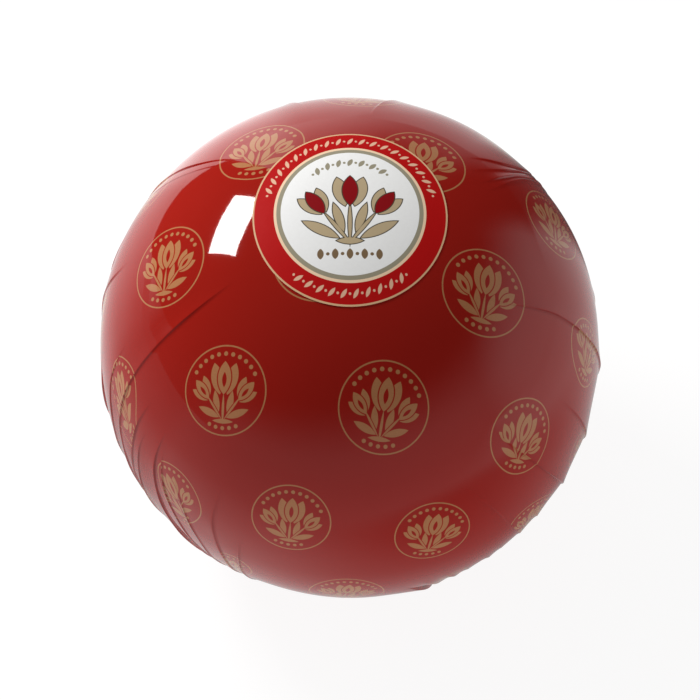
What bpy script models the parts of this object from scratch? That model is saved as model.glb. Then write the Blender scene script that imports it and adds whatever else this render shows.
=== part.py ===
"""A ball of cheese in its printed film, with a round paper label on top.

Metres, +Z up. The origin is the middle of the flat base, where the ball stands, and +Z runs up
through the label. The film is drawn tight over the cheese: it is smooth on top, and its spare
width is laid in laps that turn slowly on their way down to the gather under the base.
"""

from math import atan2, cos, floor, hypot, pi, radians, sin, sqrt

import bmesh
import bpy
from mathutils import Vector

# The cheese: a ball a little flattened above and below, measured from its widest ring.
WIDEST_RADIUS = 0.075
TOP_RISE = 0.0722
TOP_FULLNESS = 2.2  # exponent of the upper outline; 2 would be an ellipse
BASE_DROP = 0.0705
UNDERSIDE_SEMI_AXIS = 0.0735  # the lower outline is an ellipse this deep, cut flat by the base
BALL_RINGS = 25

# The laps in the film.
LAPS = 36
COLUMNS_PER_LAP = 4
LAP_HEIGHT = 0.0007
LAP_CREST = 1.4  # exponent of a lap's slow rise to its folded edge
LAP_START = radians(72)
LAP_START_SPREAD = radians(14)
LAP_RUN = radians(38)  # how far a lap takes to reach its full height
LAP_END = radians(10)  # how far before the base's edge it starts to press flat
TURN_START = radians(55)
TURN_PER_RADIAN = 0.38

# The label: a paper disc, drawn slightly oval, that follows the top of the ball.
LABEL_WIDTH = 0.054
LABEL_LENGTH = 0.0572
LABEL_GAP = 0.0003
LABEL_THICKNESS = 0.00035
LABEL_COLUMNS = 72
LABEL_RINGS = 5

FILM_RED = (0.36, 0.014, 0.012, 1.0)
PAPER_CREAM = (0.84, 0.80, 0.72, 1.0)

BALL_CENTRE = Vector((0, 0, BASE_DROP))
BASE_RADIUS = WIDEST_RADIUS * sqrt(1 - (BASE_DROP / UNDERSIDE_SEMI_AXIS) ** 2)
BASE_POLAR = pi - atan2(BASE_RADIUS, BASE_DROP)
MERGE_DISTANCE = 1e-6


def smooth_step(value):
    """0 below 0, 1 above 1, and a smooth rise between."""
    t = min(max(value, 0.0), 1.0)
    return t * t * (3 - 2 * t)


def ball_radius(polar):
    """Distance from the ball's centre to its surface, at an angle from straight up."""
    across = sin(polar) / WIDEST_RADIUS
    if polar <= pi / 2:
        along = cos(polar) / TOP_RISE
        return (across**TOP_FULLNESS + along**TOP_FULLNESS) ** (-1 / TOP_FULLNESS)
    along = cos(polar) / UNDERSIDE_SEMI_AXIS
    return 1 / sqrt(across**2 + along**2)


def top_height(reach):
    """Height of the upper surface over the widest ring, at a distance from the middle line."""
    share = (reach / WIDEST_RADIUS) ** TOP_FULLNESS
    return TOP_RISE * (1 - share) ** (1 / TOP_FULLNESS)


def lap_turn(polar):
    """How far round the film's laps have turned, at an angle from straight up."""
    return TURN_PER_RADIAN * max(polar - TURN_START, 0.0)


def lap_rise(polar, column):
    """How far the film stands off the cheese: a slow rise to a folded edge, then a sharp drop."""
    lap = floor(column / COLUMNS_PER_LAP)
    share = (column % COLUMNS_PER_LAP) / (COLUMNS_PER_LAP - 1)
    start = LAP_START + LAP_START_SPREAD * sin(2.4 * lap)
    growth = smooth_step((polar - start) / LAP_RUN)
    pressed = smooth_step((BASE_POLAR - polar) / LAP_END)
    return LAP_HEIGHT * growth * pressed * share**LAP_CREST


def spun(outline, columns):
    """A closed body turned from an outline in the XZ plane, about +Z."""
    mesh = bmesh.new()
    corners = [mesh.verts.new((reach, 0, height)) for reach, height in outline]
    lines = [mesh.edges.new(pair) for pair in zip(corners, corners[1:])]
    bmesh.ops.spin(
        mesh,
        geom=corners + lines,
        cent=(0, 0, 0),
        axis=(0, 0, 1),
        angle=2 * pi,
        steps=columns,
    )
    bmesh.ops.remove_doubles(mesh, verts=mesh.verts, dist=MERGE_DISTANCE)
    return mesh


def finished(name, mesh, colour, roughness):
    """A smooth-shaded object of that mesh, in its own material."""
    bmesh.ops.recalc_face_normals(mesh, faces=mesh.faces)
    data = bpy.data.meshes.new(name)
    mesh.to_mesh(data)
    mesh.free()
    data.shade_smooth()
    data.set_sharp_from_angle(angle=radians(40))
    material = bpy.data.materials.new(name)
    material.use_nodes = True
    surface = material.node_tree.nodes["Principled BSDF"]
    surface.inputs["Base Color"].default_value = colour
    surface.inputs["Roughness"].default_value = roughness
    data.materials.append(material)
    made = bpy.data.objects.new(name, data)
    bpy.context.scene.collection.objects.link(made)
    return made


def cheese_ball():
    """The cheese in its film: the turned outline, then each ring turned and lifted into laps."""
    outline = []
    for ring in range(BALL_RINGS + 1):
        polar = BASE_POLAR * ring / BALL_RINGS
        reach = ball_radius(polar) * sin(polar) if ring else 0.0
        outline.append((reach, ball_radius(polar) * cos(polar)))
    outline.append((0.0, -BASE_DROP))
    columns = LAPS * COLUMNS_PER_LAP
    mesh = spun(outline, columns)
    for vert in mesh.verts:
        reach = hypot(vert.co.x, vert.co.y)
        if reach > MERGE_DISTANCE:
            polar = atan2(reach, vert.co.z)
            azimuth = atan2(vert.co.y, vert.co.x)
            column = round(azimuth * columns / (2 * pi)) % columns
            lifted = ball_radius(polar) + lap_rise(polar, column)
            around = azimuth + lap_turn(polar)
            vert.co.x = lifted * sin(polar) * cos(around)
            vert.co.y = lifted * sin(polar) * sin(around)
            vert.co.z = lifted * cos(polar)
        vert.co += BALL_CENTRE
    return finished("cheese_ball", mesh, FILM_RED, 0.18)


def label():
    """The paper disc, turned flat with its lift as its height, then laid over the ball."""
    radius = LABEL_WIDTH / 2
    lifts = (LABEL_GAP, LABEL_GAP + LABEL_THICKNESS)
    reaches = [radius * ring / LABEL_RINGS for ring in range(LABEL_RINGS + 1)]
    outline = [(reach, lifts[0]) for reach in reaches]
    outline += [(reach, lifts[1]) for reach in reversed(reaches)]
    mesh = spun(outline, LABEL_COLUMNS)
    for vert in mesh.verts:
        lift = vert.co.z
        x = vert.co.x
        y = vert.co.y * LABEL_LENGTH / LABEL_WIDTH
        foot = Vector((x, y, top_height(hypot(x, y))))
        vert.co = BALL_CENTRE + foot * (1 + lift / foot.length)
    return finished("label", mesh, PAPER_CREAM, 0.45)


for old in list(bpy.data.objects):
    bpy.data.objects.remove(old, do_unlink=True)
cheese_ball()
label()
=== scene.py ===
import random
from math import atan2, cos, hypot, pi, radians, sin, sqrt

import bpy
import numpy as np
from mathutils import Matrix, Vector


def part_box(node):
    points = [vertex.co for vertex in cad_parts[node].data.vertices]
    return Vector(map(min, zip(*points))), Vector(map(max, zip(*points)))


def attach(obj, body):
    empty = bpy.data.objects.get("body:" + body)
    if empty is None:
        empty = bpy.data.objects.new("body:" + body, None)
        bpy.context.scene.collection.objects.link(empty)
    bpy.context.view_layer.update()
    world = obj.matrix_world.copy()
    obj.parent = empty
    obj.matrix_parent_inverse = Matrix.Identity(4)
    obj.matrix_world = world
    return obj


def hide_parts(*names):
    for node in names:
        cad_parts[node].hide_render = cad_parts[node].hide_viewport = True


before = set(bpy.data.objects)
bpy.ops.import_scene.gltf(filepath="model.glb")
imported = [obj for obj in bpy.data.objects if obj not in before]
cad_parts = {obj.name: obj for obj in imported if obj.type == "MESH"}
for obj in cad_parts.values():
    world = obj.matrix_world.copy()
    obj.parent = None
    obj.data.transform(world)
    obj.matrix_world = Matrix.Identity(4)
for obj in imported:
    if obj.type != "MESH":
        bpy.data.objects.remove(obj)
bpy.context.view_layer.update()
bpy.ops.object.select_all(action="DESELECT")

# ------------------------------------------------------------------------------------------
# The film: one sheet of thin, glossy printed film, heat-shrunk over a ball of cheese. It is
# centred on top and drawn down tight. Its spare width lies in folds, which start where the
# sheet first has to give, turn a little on their way down and are pressed flat underneath.

# The cheese: a heavy ball, slightly flattened on top, resting on a small flat.
ball_low, ball_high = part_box("cheese_ball")
WIDEST_RADIUS = 0.075
BASE_DROP = 0.0705
BALL_CENTRE = Vector((0, 0, ball_low.z + BASE_DROP))
TOP_RISE = 0.0722
TOP_FULLNESS = 2.2
UNDERSIDE_SEMI_AXIS = 0.0735
BASE_RADIUS = WIDEST_RADIUS * sqrt(1 - (BASE_DROP / UNDERSIDE_SEMI_AXIS) ** 2)
BASE_POLAR = pi - atan2(BASE_RADIUS, BASE_DROP)
FILM_LIFT = 0.00025


def cheese_reach(polar):
    """From the ball's centre to the cheese's skin, at an angle from straight up."""
    across = np.sin(polar) / WIDEST_RADIUS
    upper = np.clip(np.cos(polar), 0, 1) / TOP_RISE
    lower = np.cos(polar) / UNDERSIDE_SEMI_AXIS
    top_half = (across**TOP_FULLNESS + upper**TOP_FULLNESS) ** (-1 / TOP_FULLNESS)
    return np.where(polar <= pi / 2, top_half, 1 / np.hypot(across, lower))


def ease(value):
    """0 below 0, 1 above 1, and a smooth rise between."""
    share = np.clip(value, 0.0, 1.0)
    return share * share * (3 - 2 * share)


# The large folds: height in mm, how steep the edge is (mm across), the side that it drops off
# (1 ahead, -1 behind), where the small folds between it and the next one start, and the points
# that it runs through, from its start to GATHER_FROM. A point is its angle from straight up
# and its place, in degrees from the front (-Y) towards +X.
GATHER_FROM = 120
LARGE_FOLDS = (
    (0.35, 0.3, 1, 92, (56, -93), (66, -94), (77, -96.5), (120, -92)),
    (0.06, 0.3, 1, 122, (74, -81), (84, -78.5), (96, -77), (120, -77)),
    (0.20, 0.3, 1, 122, (60, -71.5), (74, -71.5), (84, -68.5), (94, -67.5), (120, -67.5)),
    (0.26, 0.3, 1, 122, (28.5, -59), (46, -61.6), (57, -63), (70, -64.2), (83, -63.8), (92, -61.5), (120, -57.5)),
    (0.26, 0.3, 1, 122, (62, -54.5), (70, -56.8), (78, -57.4), (94, -58.2), (120, -55.5)),
    (0.26, 0.3, 1, 122, (70, -53.3), (77, -55), (88, -55.1), (101, -54.2), (120, -51)),
    (0.36, 0.3, 1, 122, (65, -47.6), (72, -48.9), (79, -49.2), (86, -48.2), (93, -46.6), (107, -42.2), (120, -39)),
    (0.30, 0.3, 1, 122, (70, -47.2), (76, -47), (82, -46), (89, -43.6), (96, -40.8), (108, -37.9), (120, -35.6)),
    (0.26, 0.3, 1, 122, (75, -43.6), (80, -41.3), (87, -38.9), (98, -35.6), (109, -34.6), (120, -32.4)),
    (0.26, 0.3, 1, 122, (70, -29.8), (75, -30.7), (81, -31.7), (88, -31.2), (100, -29.6), (120, -28.6)),
    (0.22, 0.3, 1, 121, (83, -24.4), (92, -25.4), (106, -26), (120, -24.8)),
    (0.25, 0.6, 1, 121, (116, -15), (120, -14.5)),
    (0.25, 0.6, 1, 121, (115, -3), (120, -2.5)),
    (0.02, 1.2, -1, 120, (103.5, 13), (113, 18), (120, 22.5)),
    (0.45, 1.2, -1, 120, (100, 16), (112.6, 21.6), (120, 26.5)),
    (0.50, 1.3, -1, 120, (100, 21.5), (111.5, 26.7), (120, 31)),
    (0.25, 1.2, -1, 120, (101, 26.2), (110.7, 29.9), (120, 35)),
    (0.35, 1.3, -1, 120, (99, 31.5), (109, 35.9), (120, 40.5)),
    (0.12, 1.0, -1, 120, (97, 34.5), (108, 39.2), (120, 45)),
    (0.25, 0.6, -1, 118, (66, 25.8), (79, 33.7), (92, 38.7), (106, 44.6), (120, 51)),
    (0.20, 1.0, -1, 118, (92, 44.8), (104, 49.8), (120, 57)),
    (0.26, 0.4, -1, 118, (57, 36.8), (73, 45.6), (83, 50.3), (99.5, 58.6), (120, 67)),
    (0.16, 0.4, -1, 112, (64, 58), (77, 63.3), (85, 66), (94, 69.4), (120, 79)),
    (0.40, 0.3, -1, 112, (34, 58), (44, 67.7), (51, 72.8), (61, 76), (75, 80), (86, 83.2), (120, 94)),
    (0.35, 0.4, 1, 96, (72, 97), (104, 104), (120, 111)),
    (0.20, 0.6, -1, 110, (31, 107.5), (40, 114), (46, 117), (52, 119), (60, 120.6), (120, 131.5)),
    (0.35, 0.6, -1, 110, (30, 112), (39.5, 116.6), (46, 118.8), (52, 120.4), (60, 122.4), (120, 134)),
    (0.25, 0.6, -1, 110, (31, 120.5), (41, 119.9), (46, 120.6), (52, 121.8), (60, 124.2), (120, 137)),
    (0.30, 0.6, -1, 88, (33, 128.5), (43, 123), (48, 122.6), (54, 123.6), (60, 126), (120, 140.5)),
    (0.40, 0.4, 1, 92, (66, 142), (120, 155)),
    (0.40, 0.3, 1, 84, (33, 172), (60, 165), (120, 172)),
    (0.40, 0.4, 1, 90, (77, 178), (120, 190)),
    (0.50, 0.3, -1, 84, (44, 195), (70, 199), (120, 213)),
    (0.45, 0.4, 1, 94, (70, 212), (120, 227)),
    (0.30, 0.3, 1, 96, (33, 232.5), (40, 236), (46, 237.6), (60, 239), (120, 245)),
    (0.05, 0.3, 1, 96, (34, 235.5), (40, 239.5), (50, 242), (120, 251)),
    (0.45, 0.3, 1, 86, (63, 254), (120, 262)),
)
SMALL_FOLD_EVERY = 6.5
SMALL_FOLD_HEIGHT = (0.25, 0.45)
SMALL_FOLD_EDGE = 0.4
GATHER_TURN = 0.38  # how fast every fold turns below GATHER_FROM

# Rings of faces, from the top down: a few out of sight under the label, most down the side,
# and the last ones closing in along the flat base.
UNDER_LABEL = np.radians([0, 7, 14, 18])
SIDE = np.linspace(radians(20), BASE_POLAR, 112)
BASE_RINGS = 12
ring_polar = np.concatenate((UNDER_LABEL, SIDE, np.full(BASE_RINGS + 1, BASE_POLAR)))
RINGS = len(ring_polar)
ring_open = np.ones(RINGS)  # how far out on the flat base a ring lies: 1 at its rim, 0 at its middle
ring_open[-BASE_RINGS - 2 :] = np.linspace(1, 0, BASE_RINGS + 2)
polar = ring_polar[:, None]
opened = ring_open[:, None]
on_base = opened < 1

# A large fold runs through its points. Above its start it isn't there yet, and its place
# follows the folds on both sides of it.
large_paths = np.zeros((RINGS, len(LARGE_FOLDS)))
large_starts = np.radians([path[0][0] for _, _, _, _, *path in LARGE_FOLDS])
for ring in reversed(range(RINGS)):
    level = min(ring_polar[ring], radians(GATHER_FROM))
    own = [np.interp(level, *np.radians(path).T) for _, _, _, _, *path in LARGE_FOLDS]
    own = np.array(own) + GATHER_TURN * (ring_polar[ring] - level)
    there = large_starts <= level
    if there.all():
        large_paths[ring] = own
    elif there.any():
        below = large_paths[ring + 1]
        moved = np.interp(below, below[there], (own - below)[there], period=2 * pi)
        large_paths[ring] = np.where(there, own, below + moved)
    else:
        large_paths[ring] = large_paths[ring + 1]
PATH_SMOOTHING = 10
for _ in range(PATH_SMOOTHING):
    large_paths[1:-1] = (large_paths[:-2] + 2 * large_paths[1:-1] + large_paths[2:]) / 4

chance = random.Random(11)
folds, shares = [], []
for number, (height, edge, fold_side, small_from, *path) in enumerate(LARGE_FOLDS):
    _, _, after_side, _, *after_path = LARGE_FOLDS[(number + 1) % len(LARGE_FOLDS)]
    gap = (after_path[-1][1] - path[-1][1]) % 360
    folds.append((path[0][0], height, edge, fold_side, small_from, number))
    shares.append(0.0)
    between = max(round(gap / SMALL_FOLD_EVERY) - 1, 0)
    for small in range(between):
        share = (small + 1 + chance.uniform(-0.22, 0.22)) / (between + 1)
        own_start = small_from + chance.uniform(0, 9)
        own_height = chance.uniform(*SMALL_FOLD_HEIGHT)
        own_side = fold_side if share < 0.5 else after_side
        folds.append((own_start, own_height, SMALL_FOLD_EDGE, own_side, small_from, number))
        shares.append(share)
fold_start, small_start = np.radians([fold[0] for fold in folds]), np.radians([fold[4] for fold in folds])
fold_height = np.array([fold[1] for fold in folds]) / 1000
fold_edge = np.array([fold[2] for fold in folds]) / 1000
fold_side = np.array([fold[3] for fold in folds])
large_of = np.array([fold[5] for fold in folds])
large_before = np.flatnonzero(np.array(shares) == 0)
ring_round = np.concatenate((large_paths, large_paths[:, :1] + 2 * pi), 1)
paths = ring_round[:, large_of] + np.array(shares) * (ring_round[:, large_of + 1] - ring_round[:, large_of])
paths = np.concatenate((paths, paths[:, :1] + 2 * pi), 1)

# Columns of faces: every stretch between two folds has its own, close together at the folds.
widths = np.degrees(np.diff(paths[np.searchsorted(ring_polar, radians(GATHER_FROM))]))
column_stretch, column_share = [], []
for number, width in enumerate(widths):
    count = 9 + round(width * 0.5)
    for step in range(count):
        column_stretch.append(number)
        column_share.append((1 - cos(pi * step / count)) / 2)
column_stretch = np.array(column_stretch + [len(folds) - 1])
column_share = np.array(column_share + [1.0])
COLUMNS = len(column_stretch) - 1

stretch_before = paths[:, column_stretch]
stretch_round = paths[:, column_stretch + 1] - stretch_before
around = stretch_before + stretch_round * column_share
ring_radius = cheese_reach(polar) * np.sin(polar)
stretch_width = np.maximum(stretch_round * ring_radius, 1e-9)
print("film:", COLUMNS, "columns", RINGS, "rings", len(folds), "folds, narrowest stretch", stretch_round.min())

# A fold is a pleat. Its film rises slowly on the broad side and drops off a sharp edge, with
# a groove at the foot of the edge, where the pleat's three layers end.
BROAD_SIDE = 0.0026
GROOVE = 0.2
GROWS_OVER = radians(14)
GATHER_GROWTH = 0.8
number = np.arange(len(folds))
grown = ease((polar - fold_start) / GROWS_OVER)
uneven = 1 + 0.25 * np.sin(21 * polar + 2.1 * number) * np.sin(9 * polar + 1.3 * number)
ridge = fold_height * grown * uneven * (1 + GATHER_GROWTH * ease((polar - radians(105)) / radians(50)))
ridge = np.concatenate((ridge, ridge[:, :1]), 1)
grown = np.concatenate((grown, grown[:, :1]), 1)
side = np.append(fold_side, fold_side[0])
edge = np.append(fold_edge, fold_edge[0])


def pleat(fold, distance, ahead):
    """The height of a pleat's film at a distance from its edge, on the side ahead or behind."""
    broad = np.minimum(BROAD_SIDE, 0.45 * stretch_width)
    slow = 0.62 * np.exp(-((distance / broad) ** 1.4))
    slow = slow + 0.38 * np.clip(1 - distance / stretch_width, 0, 1) ** 1.6
    near = distance / edge[fold]
    steep = np.exp(-(near**2)) - GROOVE * near * np.exp(1 - near)
    return ridge[:, fold] * np.where(side[fold] == ahead, steep, slow)


ahead_of_edge = stretch_width * column_share
behind_edge = stretch_width * (1 - column_share)
relief = pleat(column_stretch, ahead_of_edge, 1) + pleat(column_stretch + 1, behind_edge, -1)

# Lower down the film is taut, so it runs flat from one pleat to the next.
TAUT_FROM, TAUT_TO = radians(66), radians(104)
next_large = np.append(large_before, len(folds))
large = large_of[column_stretch]
large_start = paths[:, next_large[large]]
large_round = paths[:, next_large[large + 1]] - large_start
large_share = (around - large_start) / large_round
small_grown = ease((polar - small_start[column_stretch]) / radians(16))


def taut(share, width, fold_behind, fold_ahead):
    """How far taut film stands off the ball between two pleats."""
    held_up = np.where(share < 0.5, grown[:, fold_behind], grown[:, fold_ahead])
    return held_up * width**2 / (8 * WIDEST_RADIUS) * (2 * share - 1) ** 2


flats = taut(large_share, large_round * ring_radius, next_large[large], next_large[large + 1])
small_flats = taut(column_share, stretch_width, column_stretch, column_stretch + 1)
flats += (small_flats - flats) * small_grown
relief += flats * ease((polar - TAUT_FROM) / (TAUT_TO - TAUT_FROM))

# The cheese is never quite true: slow swells a few centimetres across.
SWELL = 0.00011
outward = np.stack(np.broadcast_arrays(np.sin(polar) * np.sin(around), -np.sin(polar) * np.cos(around), np.cos(polar)), 2)
dice = np.random.default_rng(4)
swells = np.zeros(around.shape)
for wave in range(14):
    way = dice.normal(size=3)
    way *= dice.uniform(6, 15) / np.linalg.norm(way)
    swells += np.sin(outward @ way + dice.uniform(0, 2 * pi)) / np.linalg.norm(way)
relief += SWELL * swells / swells.std() * ease((polar - radians(24)) / radians(30))

relief[:, -1] = relief[:, 0]
reach = cheese_reach(polar) + FILM_LIFT + relief * ease((BASE_POLAR - polar) / radians(6))
places = outward * reach[:, :, None]
places[:, :, 2] = np.maximum(places[:, :, 2], -BASE_DROP)

# On the base the pleats are pressed flat and wound into a small dimple.
winding = around + 1.5 * (1 - opened) ** 1.5
rosette = 0.0007 * np.sin(pi * column_share) ** 0.8 * ease((1 - opened) / 0.15) + 0.0012 * ease((0.22 - opened) / 0.2)
flat_places = np.stack((opened * BASE_RADIUS * np.sin(winding), -opened * BASE_RADIUS * np.cos(winding), rosette - BASE_DROP), 2)
places = np.where(on_base[:, :, None], flat_places, places)
places[:, -1] = places[:, 0]
places[0] = places[0, 0]
places[-1] = places[-1, 0]

bpy.ops.mesh.primitive_grid_add(x_subdivisions=COLUMNS, y_subdivisions=RINGS - 1, size=1)
film = bpy.context.object
film.name = film.data.name = "film_wrap"
sheet_mesh = film.data


def read(items, name, width, kind=float):
    values = np.empty(len(items) * width, kind)
    items.foreach_get(name, values)
    return values.reshape(-1, width) if width > 1 else values


laid_out = read(sheet_mesh.vertices, "co", 3)
column_of = np.rint((laid_out[:, 0] + 0.5) * COLUMNS).astype(int)
ring_of = RINGS - 1 - np.rint((laid_out[:, 1] + 0.5) * (RINGS - 1)).astype(int)
on_ball = places[ring_of, column_of] + np.array(BALL_CENTRE)
sheet_mesh.vertices.foreach_set("co", on_ball.astype(np.float32).ravel())

# Where each corner of a face lies on the sheet as it was printed flat, in mm from its middle.
# Down the ball lengths are kept. Around it the sheet is too wide: heat shrinks a part of the
# spare width, and the rest is hidden in the pleats, so the print is cut off at their edges.
SHRINK_TO_FOLD = radians(25), radians(125)
fine = np.linspace(0, BASE_POLAR, 400)
fine_across, fine_up = cheese_reach(fine) * np.sin(fine), cheese_reach(fine) * np.cos(fine)
fine_length = np.concatenate(([0], np.cumsum(np.hypot(np.diff(fine_across), np.diff(fine_up)))))
sheet_radius = np.interp(ring_polar, fine, fine_length) + BASE_RADIUS * (1 - ring_open)
seen = np.where(ring_open < 1, BASE_RADIUS * ring_open, ring_radius[:, 0]) / np.maximum(sheet_radius, 1e-6)
folded_away = (1 - np.minimum(seen, 1)) * np.clip(
    (ring_polar - SHRINK_TO_FOLD[0]) / (SHRINK_TO_FOLD[1] - SHRINK_TO_FOLD[0]), 0, 1
)
hides = fold_height * ease((polar - fold_start) / GROWS_OVER) + 1e-9
hides *= 2 * pi / hides.sum(1, keepdims=True)
hidden = np.cumsum(hides, 1)
front_stretch = int(np.searchsorted(paths[-1], 0)) - 1
hidden -= hidden[:, front_stretch : front_stretch + 1]

corner_vertex = read(sheet_mesh.loops, "vertex_index", 1, int)
corner_face = np.repeat(np.arange(len(sheet_mesh.polygons)), 4)
corner_column = column_of[corner_vertex]
corner_ring = ring_of[corner_vertex]
face_column = np.minimum.reduceat(corner_column, np.arange(0, len(corner_column), 4))
face_stretch = column_stretch[face_column][corner_face]
corner_around = around[corner_ring, corner_column]
slipped = corner_around - hidden[corner_ring, face_stretch]
turned = corner_around - folded_away[corner_ring] * slipped
corner_radius = sheet_radius[corner_ring] * 1000
sheet_map = sheet_mesh.uv_layers[0]
sheet_map.name = "sheet_mm"
sheet_place = np.stack((corner_radius * np.sin(turned), -corner_radius * np.cos(turned)), 1)
sheet_map.data.foreach_set("uv", sheet_place.astype(np.float32).ravel())

# A second map without overlaps, for any picture of the finish: the ball's octahedron, opened flat.
corner_out = on_ball[corner_vertex] - np.array(BALL_CENTRE)
face_out = np.add.reduceat(corner_out, np.arange(0, len(corner_out), 4))[corner_face]
signs = np.where(face_out[:, :2] < 0, -1.0, 1.0)
corner_out /= (corner_out[:, :2] * signs).sum(1, keepdims=True) + np.abs(corner_out[:, 2:])
opened_out = np.where(face_out[:, 2:] < 0, (1 - (corner_out[:, :2] * signs)[:, ::-1]) * signs, corner_out[:, :2])
bake_map = sheet_mesh.uv_layers.new(name="OFBake")
bake_map.data.foreach_set("uv", (0.5 + 0.49 * opened_out).astype(np.float32).ravel())

# The film is painted darker along the foot of a pleat's edge: partly for the pleat's doubled layers of film, partly
# painted shade where the layers lie in their own shade.
FOOT = 1.1  # of the edge's own width
SHARPEST = 0.0003
steep = (SHARPEST / edge) ** 2 * grown


def foot_shade(fold, distance, ahead):
    """How dark the film is painted at a distance from a pleat's edge, on the side ahead or behind: painted shade,
    with the doubled film.
    """
    off_foot = distance / edge[fold] - FOOT
    return np.where(side[fold] == ahead, np.exp(-(off_foot**2)) * steep[:, fold], 0)


foot_shade_and_layers = foot_shade(column_stretch, ahead_of_edge, 1) + foot_shade(column_stretch + 1, behind_edge, -1)
crease_shade_and_layers = sheet_mesh.attributes.new("crease_shade_and_layers", "FLOAT", "POINT")
crease_shade_and_layers.data.foreach_set("value", foot_shade_and_layers[ring_of, column_of].astype(np.float32))

bpy.ops.object.mode_set(mode="EDIT")
bpy.ops.mesh.select_all(action="SELECT")
bpy.ops.mesh.remove_doubles(threshold=0.000001)
bpy.ops.mesh.select_all(action="DESELECT")
bpy.ops.object.mode_set(mode="OBJECT")
bpy.ops.object.shade_smooth()


# ------------------------------------------------------------------------------------------
# The film's print and finish: deep red film, printed in gold ink with rows of roundels. Each
# holds a bunch of three tulips under an arc of dots. The gloss is the clear film over the ink.
def maths(tree, operation, *inputs):
    """A Math node's result."""
    node = tree.nodes.new("ShaderNodeMath")
    node.operation = operation
    for socket, given in zip(node.inputs, inputs):
        if isinstance(given, (int, float)):
            socket.default_value = given
        else:
            tree.links.new(given, socket)
    return node.outputs[0]


def vectors(tree, operation, *inputs):
    """A Vector Math node's result."""
    node = tree.nodes.new("ShaderNodeVectorMath")
    node.operation = operation
    for socket, given in zip(node.inputs, inputs):
        if isinstance(given, tuple):
            socket.default_value = given
        else:
            tree.links.new(given, socket)
    return node.outputs["Value" if operation == "LENGTH" else "Vector"]


def turned_by(tree, spot, degrees):
    """A spot's place, seen from axes turned by some degrees."""
    node = tree.nodes.new("ShaderNodeVectorRotate")
    node.rotation_type = "Z_AXIS"
    node.inputs["Angle"].default_value = radians(degrees)
    tree.links.new(spot, node.inputs["Vector"])
    return node.outputs["Vector"]


def joined(tree, x, y):
    """A spot from its two coordinates."""
    node = tree.nodes.new("ShaderNodeCombineXYZ")
    tree.links.new(x, node.inputs["X"])
    tree.links.new(y, node.inputs["Y"])
    return node.outputs["Vector"]


def parted(tree, spot):
    """A spot's two coordinates."""
    node = tree.nodes.new("ShaderNodeSeparateXYZ")
    tree.links.new(spot, node.inputs[0])
    return node.outputs["X"], node.outputs["Y"]


def petal(tree, spot, centre, lean, half_length, half_width):
    """How far a spot lies outside a pointed petal, whose tip leans to the right."""
    bow = (half_length**2 + half_width**2) / (2 * half_width)
    own = turned_by(tree, vectors(tree, "SUBTRACT", spot, (*centre, 0.0)), lean)
    folded = vectors(tree, "ABSOLUTE", own)
    outside = vectors(tree, "LENGTH", vectors(tree, "ADD", folded, (bow - half_width, 0.0, 0.0)))
    return maths(tree, "SUBTRACT", outside, bow)


def any_of(tree, *distances):
    """The distance to the nearest of several shapes."""
    nearest = distances[0]
    for distance in distances[1:]:
        nearest = maths(tree, "MINIMUM", nearest, distance)
    return nearest


def cut_by(tree, distance, cutter, gap):
    """A shape less another, with a gap round the other."""
    return maths(tree, "MAXIMUM", distance, maths(tree, "SUBTRACT", gap, cutter))


def inked(tree, distance, soft_edge=0.1):
    """1 inside a shape and 0 outside it."""
    node = tree.nodes.new("ShaderNodeMapRange")
    node.inputs["From Min"].default_value = soft_edge / 2
    node.inputs["From Max"].default_value = -soft_edge / 2
    tree.links.new(distance, node.inputs["Value"])
    return node.outputs["Result"]


def painted(tree, share, under, over, blend="MIX"):
    """One colour laid over another."""
    node = tree.nodes.new("ShaderNodeMix")
    node.data_type = "RGBA"
    node.blend_type = blend
    for socket, given in ((node.inputs[0], share), (node.inputs[6], under), (node.inputs[7], over)):
        if isinstance(given, (int, float, tuple)):
            socket.default_value = (*given, 1.0) if isinstance(given, tuple) else given
        else:
            tree.links.new(given, socket)
    return node.outputs[2]


def noise(tree, spot, scale, detail=2.0):
    """Soft random marks, from 0 to 1."""
    node = tree.nodes.new("ShaderNodeTexNoise")
    node.inputs["Scale"].default_value = scale
    node.inputs["Detail"].default_value = detail
    tree.links.new(spot, node.inputs["Vector"])
    return node.outputs[0]


def spread(tree, value, low, high):
    """A value of 0 to 1, spread from low to high."""
    return maths(tree, "MULTIPLY_ADD", value, high - low, low)


FILM_RED = (0.30, 0.0115, 0.0068)
# painted shade: the dark red laid along the foot of each pleat's edge, where the doubled film is darker too
CREASE_SHADE_AND_LAYERS_RED = (0.10, 0.004, 0.004)
GOLD_INK = (0.42, 0.185, 0.080)
ROW_STEP = (47.0, 78.0, 1.0)  # mm between roundels along a row, and from a row to the next but one
ROUNDEL_RING = 12.9
PRINT_LEAN = 8

film_look = bpy.data.materials.new("printed_film")
film_look.use_nodes = True
tree = film_look.node_tree
shader = tree.nodes["Principled BSDF"]
sheet_node = tree.nodes.new("ShaderNodeUVMap")
sheet_node.uv_map = "sheet_mm"
sheet = vectors(tree, "ADD", turned_by(tree, sheet_node.outputs[0], PRINT_LEAN), (6.0, 16.0, 0.0))
half_step = (ROW_STEP[0] / 2, ROW_STEP[1] / 2, 0.0)
in_row = vectors(tree, "SUBTRACT", vectors(tree, "WRAP", sheet, ROW_STEP, (0.0, 0.0, 0.0)), half_step)
shifted = vectors(tree, "WRAP", vectors(tree, "ADD", sheet, half_step), ROW_STEP, (0.0, 0.0, 0.0))
in_next_row = vectors(tree, "SUBTRACT", shifted, half_step)
first_nearer = maths(
    tree, "LESS_THAN", vectors(tree, "LENGTH", in_row), vectors(tree, "LENGTH", in_next_row)
)
nearest = tree.nodes.new("ShaderNodeMix")
nearest.data_type = "VECTOR"
tree.links.new(first_nearer, nearest.inputs["Factor"])
tree.links.new(in_next_row, nearest.inputs[4])
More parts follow.
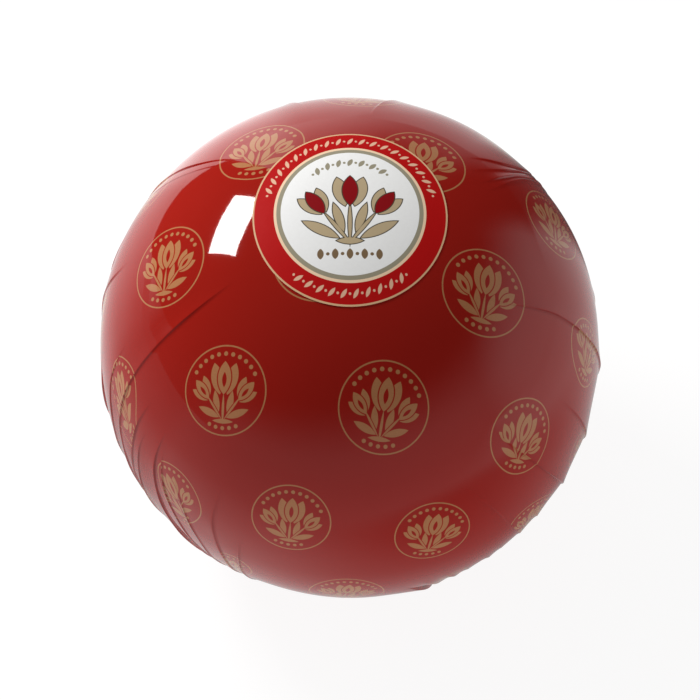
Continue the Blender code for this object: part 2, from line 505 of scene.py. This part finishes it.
tree.links.new(in_row, nearest.inputs[5])
roundel = nearest.outputs[1]
radius = vectors(tree, "LENGTH", roundel)
x, y = parted(tree, roundel)
half = joined(tree, maths(tree, "ABSOLUTE", x), y)

heart = petal(tree, half, (0.0, 3.9), 0, 4.7, 2.1)
flank = cut_by(tree, petal(tree, half, (2.3, 3.6), 14, 4.6, 1.9), heart, 0.35)
small_heart = petal(tree, half, (7.0, 0.4), 40, 3.5, 1.5)
small_inner = cut_by(tree, petal(tree, half, (5.6, 1.6), 22, 3.0, 1.2), small_heart, 0.3)
small_outer = cut_by(tree, petal(tree, half, (7.7, -1.2), 60, 3.0, 1.2), small_heart, 0.3)
stem = petal(tree, half, (0.0, -5.0), 0, 4.6, 0.4)
side_stem = petal(tree, half, (2.9, -4.6), 36, 4.4, 0.35)
tall_leaf = cut_by(tree, petal(tree, half, (2.2, -3.2), 10, 3.6, 1.0), side_stem, 0.25)
low_leaf = petal(tree, half, (4.6, -6.1), 68, 3.7, 1.1)
tie = petal(tree, half, (0.0, -8.6), 90, 3.4, 0.7)
flowers = any_of(tree, heart, flank, small_heart, small_inner, small_outer)
greens = any_of(tree, stem, side_stem, tall_leaf, low_leaf, tie)
bunch = any_of(tree, flowers, greens)
eye = any_of(tree, petal(tree, half, (0.0, 3.4), 0, 2.2, 0.7), petal(tree, half, (6.7, 0.0), 40, 1.6, 0.5))
bunch = maths(tree, "MAXIMUM", bunch, maths(tree, "MULTIPLY", eye, -1.0))

ring_line = maths(tree, "ABSOLUTE", maths(tree, "SUBTRACT", radius, ROUNDEL_RING))
ring_line = maths(tree, "SUBTRACT", ring_line, 0.22)
bearing = maths(tree, "ARCTAN2", x, y)
DOT_STEP = radians(12)
dot_turn = maths(tree, "WRAP", bearing, DOT_STEP / 2, -DOT_STEP / 2)
dot_along = maths(tree, "MULTIPLY", maths(tree, "SINE", dot_turn), radius)
dot_across = maths(tree, "SUBTRACT", radius, 10.7)
dot = maths(tree, "SUBTRACT", vectors(tree, "LENGTH", joined(tree, dot_along, dot_across)), 0.62)
bearing_size = maths(tree, "ABSOLUTE", bearing)
over_arc = maths(tree, "MULTIPLY", maths(tree, "SUBTRACT", bearing_size, radians(66)), 10.0)
under_arc = maths(tree, "MULTIPLY", maths(tree, "SUBTRACT", radians(150), bearing_size), 10.0)
dots = maths(tree, "MAXIMUM", dot, any_of(tree, over_arc, under_arc))
gold = inked(tree, any_of(tree, bunch, ring_line, dots))

where = tree.nodes.new("ShaderNodeTexCoord").outputs["Object"]
hatch = noise(tree, vectors(tree, "MULTIPLY", sheet, (1.1, 2.6, 0.0)), 1.0)
gold_colour = painted(tree, spread(tree, hatch, 0.0, 0.7), GOLD_INK, (0.325, 0.13, 0.055))
shade = noise(tree, where, 22.0)
red_colour = painted(tree, spread(tree, shade, 0.0, 0.5), FILM_RED, (0.265, 0.010, 0.0063))
colour = painted(tree, gold, red_colour, gold_colour)
crease_shade_and_layers_node = tree.nodes.new("ShaderNodeAttribute")
crease_shade_and_layers_node.attribute_name = "crease_shade_and_layers"
# painted shade along the foot of each pleat's edge, with the doubled film darker there too
crease_shade_and_layers_share = maths(tree, "MULTIPLY", crease_shade_and_layers_node.outputs["Fac"], 0.5)
colour = painted(tree, crease_shade_and_layers_share, colour, CREASE_SHADE_AND_LAYERS_RED)
tree.links.new(colour, shader.inputs["Base Color"])
tree.links.new(spread(tree, gold, 0.34, 0.46), shader.inputs["Roughness"])
shader.inputs["Specular IOR Level"].default_value = 0.0
shader.inputs["Coat Weight"].default_value = 1.0
shader.inputs["Coat Roughness"].default_value = 0.045
shader.inputs["Coat IOR"].default_value = 1.5
bump = tree.nodes.new("ShaderNodeBump")
bump.inputs["Strength"].default_value = 0.5
bump.inputs["Distance"].default_value = 0.00006
dents = maths(tree, "ADD", noise(tree, where, 95.0), maths(tree, "MULTIPLY", noise(tree, where, 420.0), 0.12))
tree.links.new(dents, bump.inputs["Height"])
tree.links.new(bump.outputs["Normal"], shader.inputs["Normal"])
tree.links.new(bump.outputs["Normal"], shader.inputs["Coat Normal"])
film.data.materials.append(film_look)
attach(film, "root")
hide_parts("cheese_ball")

# ------------------------------------------------------------------------------------------
# The label: a slightly long disc of coated paper, glued over the middle of the film. It is
# printed with a red border between gold lines, a grey-gold ring, and a bunch of tulips on
# white. Where words could stand, it has garlands of leaves and dots.
label_low, label_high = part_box("label")
LABEL_HALF_WIDTH = (label_high.x - label_low.x) / 2 - 0.0005
LABEL_HALF_LENGTH = (label_high.y - label_low.y) / 2 + 0.0004
LABEL_THICKNESS = 0.00012
LABEL_GAP = 0.00028
LABEL_RINGS = 14
LABEL_SIDES = 120

bpy.ops.object.select_all(action="DESELECT")
bpy.ops.mesh.primitive_circle_add(vertices=LABEL_SIDES, radius=1, fill_type="NOTHING")
label = bpy.context.object
label.name = label.data.name = "paper_label"
bpy.ops.object.mode_set(mode="EDIT")
bpy.ops.transform.resize(value=(LABEL_HALF_WIDTH, LABEL_HALF_LENGTH, 1))
for ring in range(LABEL_RINGS, 1, -1):
    bpy.ops.mesh.extrude_edges_move()
    bpy.ops.transform.resize(value=((ring - 1) / ring,) * 3)
bpy.ops.mesh.edge_face_add()
bpy.ops.mesh.poke()
bpy.ops.mesh.select_all(action="SELECT")
bpy.ops.mesh.normals_make_consistent(inside=False)
bpy.ops.object.mode_set(mode="OBJECT")
for vertex in label.data.vertices:
    across = hypot(vertex.co.x, vertex.co.y)
    rim = hypot(vertex.co.x / LABEL_HALF_WIDTH, vertex.co.y / LABEL_HALF_LENGTH)
    bearing_out = atan2(vertex.co.y, vertex.co.x)
    share = (across / WIDEST_RADIUS) ** TOP_FULLNESS
    foot = Vector((vertex.co.x, vertex.co.y, TOP_RISE * (1 - share) ** (1 / TOP_FULLNESS)))
    curl = 0.00006 * (1 + sin(3 * bearing_out + 0.6)) * max(0, rim - 0.9) / 0.1
    vertex.co = BALL_CENTRE + foot * (1 + (LABEL_GAP + curl) / foot.length)
if sum(face.normal.z for face in label.data.polygons) < 0:
    label.data.flip_normals()
thickness = label.modifiers.new("thickness", "SOLIDIFY")
thickness.thickness = LABEL_THICKNESS
thickness.offset = 1
bpy.ops.object.modifier_apply(modifier="thickness")
bpy.ops.object.shade_smooth_by_angle(angle=radians(40))

WHITE = (0.86, 0.86, 0.85)
PALE_GOLD = (0.66, 0.42, 0.24)
BORDER_RED = (0.44, 0.006, 0.006)
CREAM = (0.72, 0.44, 0.30)
CREAM_LINE = (0.84, 0.62, 0.42)
GREY_GOLD = (0.31, 0.28, 0.20)
LEAF_GOLD = (0.46, 0.36, 0.22)
OUTLINE = (0.06, 0.05, 0.035)
OUTLINE_GOLD = (0.20, 0.13, 0.07)
TULIP_RED = (0.24, 0.005, 0.008)

label_look = bpy.data.materials.new("printed_label")
label_look.use_nodes = True
tree = label_look.node_tree
shader = tree.nodes["Principled BSDF"]
where = tree.nodes.new("ShaderNodeTexCoord").outputs["Object"]
spot = vectors(tree, "MULTIPLY", where, (1000.0, 1000.0, 0.0))
shape = vectors(tree, "MULTIPLY", where, (1 / LABEL_HALF_WIDTH, 1 / LABEL_HALF_LENGTH, 0.0))
out = vectors(tree, "LENGTH", shape)
x, y = parted(tree, spot)
bearing = maths(tree, "ARCTAN2", *parted(tree, shape))
bearing_size = maths(tree, "ABSOLUTE", bearing)
half = joined(tree, maths(tree, "ABSOLUTE", x), y)


def within(tree, size):
    """1 inside an oval of the label's shape and 0 outside it."""
    return inked(tree, maths(tree, "MULTIPLY", maths(tree, "SUBTRACT", out, size), 27.0), 0.08)


def garland(tree, size, step, leaf, leaf_width, lean, dot_size):
    """Leaves with dots between them, set round an oval."""
    turn = maths(tree, "WRAP", bearing, radians(step) / 2, -radians(step) / 2)
    along = maths(tree, "MULTIPLY", turn, 27.9 * size)
    across = maths(tree, "MULTIPLY", maths(tree, "SUBTRACT", out, size), 27.9)
    own = joined(tree, along, across)
    dot_turn = maths(tree, "WRAP", maths(tree, "ADD", bearing, radians(step) / 2), radians(step) / 2, -radians(step) / 2)
    dot_spot = joined(tree, maths(tree, "MULTIPLY", dot_turn, 27.9 * size), across)
    dot = maths(tree, "SUBTRACT", vectors(tree, "LENGTH", dot_spot), dot_size)
    return any_of(tree, petal(tree, own, (0.0, 0.0), lean, leaf, leaf_width), dot)


def arc(tree, low, high):
    """Inside a stretch of bearings from the top, on both sides."""
    below = maths(tree, "SUBTRACT", radians(low), bearing_size)
    above = maths(tree, "SUBTRACT", bearing_size, radians(high))
    return maths(tree, "MULTIPLY", maths(tree, "MAXIMUM", below, above), 20.0)


colour = painted(tree, within(tree, 0.988), PALE_GOLD, BORDER_RED)
border = maths(tree, "MAXIMUM", garland(tree, 0.885, 8, 1.5, 0.55, 32, 0.36), any_of(tree, arc(tree, -1, 77.6), arc(tree, 138.5, 190)))
colour = painted(tree, inked(tree, border), colour, CREAM)
colour = painted(tree, within(tree, 0.785), colour, CREAM_LINE)
colour = painted(tree, within(tree, 0.757), colour, GREY_GOLD)
colour = painted(tree, within(tree, 0.713), colour, WHITE)
crest = maths(tree, "MAXIMUM", garland(tree, 0.575, 12, 1.45, 0.7, 24, 0.42), arc(tree, -1, 45))
colour = painted(tree, inked(tree, crest), colour, GREY_GOLD)

stems = any_of(
    tree,
    petal(tree, half, (0.0, -4.6), 0, 6.4, 0.5),
    petal(tree, half, (3.6, -6.0), 36, 5.8, 0.5),
)
leaves = any_of(
    tree,
    petal(tree, half, (3.1, -2.8), 17, 5.0, 1.2),
    petal(tree, half, (8.0, -6.6), 60, 5.8, 1.5),
)
band = petal(tree, half, (0.0, -10.4), 90, 3.6, 1.0)
heart = petal(tree, half, (0.0, 6.4), 0, 5.2, 2.1)
flank = cut_by(tree, petal(tree, half, (2.5, 6.0), 13, 5.2, 2.1), heart, 0.0)
side_heart = petal(tree, half, (9.6, 2.4), 34, 4.5, 1.9)
side_flank = cut_by(
    tree,
    any_of(tree, petal(tree, half, (7.9, 3.2), 18, 4.3, 1.7), petal(tree, half, (11.1, 1.1), 50, 4.3, 1.7)),
    side_heart,
    0.0,
)
for drawing, fill in (
    (any_of(tree, stems, leaves, band), LEAF_GOLD),
    (any_of(tree, flank, side_flank), LEAF_GOLD),
    (any_of(tree, heart, side_heart), TULIP_RED),
):
    edge = maths(tree, "SUBTRACT", drawing, 0.28)
    colour = painted(tree, inked(tree, edge), colour, OUTLINE)
    colour = painted(tree, inked(tree, drawing), colour, fill)
FOOT_STEP = 4.0
foot_x = maths(tree, "WRAP", x, FOOT_STEP / 2, -FOOT_STEP / 2)
foot_between = maths(tree, "WRAP", maths(tree, "ADD", x, FOOT_STEP / 2), FOOT_STEP / 2, -FOOT_STEP / 2)
foot_y = maths(tree, "ADD", y, 14.4)
foot_dot = maths(tree, "SUBTRACT", vectors(tree, "LENGTH", joined(tree, foot_between, foot_y)), 0.5)
foot_row = any_of(tree, petal(tree, joined(tree, foot_x, foot_y), (0.0, 0.0), 0, 1.6, 0.9), foot_dot)
foot_row = maths(tree, "MAXIMUM", foot_row, maths(tree, "SUBTRACT", maths(tree, "ABSOLUTE", x), 2.3 * FOOT_STEP))
colour = painted(tree, inked(tree, foot_row), colour, OUTLINE_GOLD)

fibre = noise(tree, where, 900.0, 4.0)
colour = painted(tree, spread(tree, fibre, 0.0, 0.12), colour, (0.55, 0.5, 0.45), "MULTIPLY")
tree.links.new(colour, shader.inputs["Base Color"])
tree.links.new(spread(tree, fibre, 0.42, 0.55), shader.inputs["Roughness"])
shader.inputs["Specular IOR Level"].default_value = 0.04
bump = tree.nodes.new("ShaderNodeBump")
bump.inputs["Strength"].default_value = 0.3
bump.inputs["Distance"].default_value = 0.00002
tree.links.new(fibre, bump.inputs["Height"])
tree.links.new(bump.outputs["Normal"], shader.inputs["Normal"])
label.data.materials.append(label_look)
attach(label, "root")
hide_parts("label")

# ------------------------------------------------------------------------------------------
# The studio: a pale table that glows a little and evenly towards the camera, a soft window of light behind the ball
# on the left, with its black frame, and an even room. In reflections the table's glow carries painted light and
# shade: brighter towards the back and in a pool at the left front, with a painted shadow of the ball at the right
# front.
FLOOR_HALF = 3.0
bpy.ops.object.select_all(action="DESELECT")
bpy.ops.mesh.primitive_plane_add(size=2 * FLOOR_HALF, location=(0, 0, 0))
floor = bpy.context.object
floor.name = "floor"
floor_look = bpy.data.materials.new("pale_floor")
floor_look.use_nodes = True
floor_shader = floor_look.node_tree.nodes["Principled BSDF"]
tree = floor_look.node_tree
path = tree.nodes.new("ShaderNodeLightPath")
seen, mirrored = path.outputs["Is Camera Ray"], path.outputs["Is Glossy Ray"]
def faded(tree, value, dark_at, bright_at, bright):
    """A soft-edged glow, from 0 to bright."""
    node = tree.nodes.new("ShaderNodeMapRange")
    node.interpolation_type = "SMOOTHSTEP"
    node.inputs["From Min"].default_value = dark_at
    node.inputs["From Max"].default_value = bright_at
    node.inputs["To Max"].default_value = bright
    tree.links.new(value, node.inputs["Value"])
    return node.outputs["Result"]


def facing(tree, direction, given):
    """How closely a direction faces a given one."""
    node = tree.nodes.new("ShaderNodeVectorMath")
    node.operation = "DOT_PRODUCT"
    tree.links.new(direction, node.inputs[0])
    node.inputs[1].default_value = given
    return node.outputs["Value"]


def towards(left_of_back, above):
    """A direction from the ball: degrees to the left of straight back, and above the level."""
    level = cos(radians(above))
    return Vector((-sin(radians(left_of_back)) * level, cos(radians(left_of_back)) * level, sin(radians(above))))


def levelled(tree, direction):
    """A direction, turned level."""
    return vectors(tree, "NORMALIZE", vectors(tree, "MULTIPLY", direction, (1.0, 1.0, 0.0)))


def gap_and_stripe(tree, level):
    """A dark gap at the back on the right, and a bright stripe at the back on the left."""
    outside_gap = faded(tree, facing(tree, level, towards(-38, 0)), 0.997, 0.965, 0.95)
    return outside_gap, faded(tree, facing(tree, level, towards(24, 0)), 0.965, 0.995, 0.4)


base = maths(tree, "SUBTRACT", spread(tree, seen, 0.8, 0.14), maths(tree, "MULTIPLY", mirrored, 0.7))
tree.links.new(base, floor_shader.inputs["Base Color"])
floor_shader.inputs["Roughness"].default_value = 0.9
floor_shader.inputs["Specular IOR Level"].default_value = 0.1
floor_shader.inputs["Emission Color"].default_value = (1, 1, 1, 1)
place = tree.nodes.new("ShaderNodeTexCoord").outputs["Object"]
x, y = parted(tree, place)
# painted light: in reflections the floor glows brighter towards the back, where the window lights it
painted_light_to_back = faded(tree, maths(tree, "MULTIPLY_ADD", x, 0.6, y), -0.2, 0.2, 0.58)
painted_light_to_back = maths(tree, "MULTIPLY", painted_light_to_back, maths(tree, "SUBTRACT", 1.0, faded(tree, x, 0.0, 0.1, 0.4)))
# painted light: a pool of brighter glow on the floor at the left front of the ball
from_painted_light_pool = vectors(tree, "SUBTRACT", place, (-0.09, -0.04, 0.0))
painted_light_pool = faded(tree, vectors(tree, "LENGTH", from_painted_light_pool), 0.19, 0.07, 0.16)
# painted shadow: the ball's shadow at the right front, taken out of the glow that the ball reflects
from_painted_shadow = vectors(tree, "SUBTRACT", place, (0.135, -0.115, 0.0))
shade = faded(tree, vectors(tree, "LENGTH", from_painted_shadow), 0.21, 0.06, 0.31)
level = levelled(tree, place)
outside_gap, stripe = gap_and_stripe(tree, level)
# painted shade: in reflections the floor's glow is darker far to the left
left_shade = faded(tree, facing(tree, level, towards(95, 0)), 0.93, 0.99, 0.35)
in_mirror = maths(tree, "ADD", painted_light_to_back, maths(tree, "SUBTRACT", painted_light_pool, shade))
in_mirror = maths(tree, "ADD", in_mirror, 0.34)
in_mirror = maths(tree, "MULTIPLY", in_mirror, maths(tree, "SUBTRACT", 1.0, left_shade))
in_mirror = maths(tree, "ADD", maths(tree, "MULTIPLY", in_mirror, outside_gap), stripe)
glow = spread(tree, seen, 1.00, 0.90)
glow = maths(tree, "ADD", glow, maths(tree, "MULTIPLY", mirrored, maths(tree, "SUBTRACT", in_mirror, 1.00)))
tree.links.new(glow, floor_shader.inputs["Emission Strength"])
floor_look.cycles.emission_sampling = "NONE"
floor.data.materials.append(floor_look)

VIEW_TILT = radians(32.25)
CAMERA_DISTANCE = 0.6
towards_camera = Vector((0, -sin(VIEW_TILT), cos(VIEW_TILT)))
camera_data = bpy.data.cameras.new("camera")
camera_data.lens = 101.1
camera_data.sensor_width = 36
camera = bpy.data.objects.new("camera", camera_data)
camera.location = BALL_CENTRE + CAMERA_DISTANCE * towards_camera
camera.rotation_euler = (VIEW_TILT, 0, 0)
bpy.context.scene.collection.objects.link(camera)
bpy.context.scene.camera = camera


def area_light(name, way, distance, size, roll, radiance):
    """A soft rectangle of light that faces the ball."""
    light = bpy.data.lights.new(name, "AREA")
    light.shape = "RECTANGLE"
    light.size, light.size_y = size
    light.energy = radiance * pi * size[0] * size[1]
    lamp = bpy.data.objects.new(name, light)
    lamp.location = BALL_CENTRE + distance * way
    lamp.rotation_euler = way.to_track_quat("Z", "Y").to_euler()
    lamp.rotation_euler.rotate_axis("Z", radians(roll))
    lamp.visible_camera = False
    bpy.context.scene.collection.objects.link(lamp)
    return lamp


area_light("window", towards(49.8, 39.3), 0.55, (0.215, 0.122), 11, 30)
side_fill = area_light("side_fill", towards(55, 8), 0.9, (0.6, 0.4), 0, 4.0)
side_fill.visible_glossy = False
right_fill = area_light("right_fill", towards(-95, 15), 0.9, (0.6, 0.4), 0, 1.0)
right_fill.visible_glossy = False

FRAME_DISTANCE = 0.9
FRAME_CORNERS = (
    (14, 55),
    (27.5, 12),
    (28.5, 5),
    (35, -2.2),
    (42.5, -8.7),
    (54, -5),
    (70, 5.7),
    (87, 13),
    (100, 40),
    (60, 62),
)
bpy.ops.object.select_all(action="DESELECT")
bpy.ops.mesh.primitive_circle_add(vertices=len(FRAME_CORNERS), radius=1, fill_type="NGON", location=(0, 0, 0))
card = bpy.context.object
card.name = "black_frame"
for vertex, corner in zip(card.data.vertices, FRAME_CORNERS):
    vertex.co = BALL_CENTRE + FRAME_DISTANCE * towards(*corner)
bpy.ops.object.mode_set(mode="EDIT")
bpy.ops.mesh.poke()
bpy.ops.object.mode_set(mode="OBJECT")
card.visible_camera = False
card.visible_diffuse = False
card.visible_shadow = False
card_look = bpy.data.materials.new("black_card")
card_look.use_nodes = True
card_shader = card_look.node_tree.nodes["Principled BSDF"]
card_shader.inputs["Base Color"].default_value = (0.01, 0.01, 0.01, 1)
card_shader.inputs["Roughness"].default_value = 1.0
card_shader.inputs["Specular IOR Level"].default_value = 0.0
card.data.materials.append(card_look)

world = bpy.data.worlds.new("studio")
bpy.context.scene.world = world
world.use_nodes = True
sky = world.node_tree
background = sky.nodes["Background"]
path = sky.nodes.new("ShaderNodeLightPath")
seen, mirrored = path.outputs["Is Camera Ray"], path.outputs["Is Glossy Ray"]
way = sky.nodes.new("ShaderNodeTexCoord").outputs["Generated"]

walls = faded(sky, facing(sky, way, (-0.15, 0.10, 1.0)), 0.60, 0.02, 0.38)
right_wall = faded(sky, facing(sky, way, towards(-82, 5)), 0.78, 0.98, 0.37)
back_wall = faded(sky, facing(sky, way, towards(35, 0)), 0.65, 0.95, 0.85)
level = levelled(sky, way)
outside_gap, stripe = gap_and_stripe(sky, level)
left_shade = faded(sky, facing(sky, level, towards(92, 0)), 0.75, 0.97, 0.85)
walls = maths(sky, "MULTIPLY", walls, maths(sky, "SUBTRACT", 1.0, left_shade))
room = maths(sky, "ADD", maths(sky, "ADD", walls, right_wall), back_wall)
room = maths(sky, "MULTIPLY_ADD", room, outside_gap, stripe)
room = maths(sky, "ADD", room, 0.015)
total = maths(sky, "MULTIPLY", mirrored, maths(sky, "SUBTRACT", room, 0.33))
total = maths(sky, "ADD", total, maths(sky, "MULTIPLY_ADD", seen, 0.60, 0.33))
sky.links.new(total, background.inputs["Strength"])
background.inputs["Color"].default_value = (1, 1, 1, 1)
world.cycles.sampling_method = "NONE"
bpy.context.scene.view_settings.view_transform = "Standard"
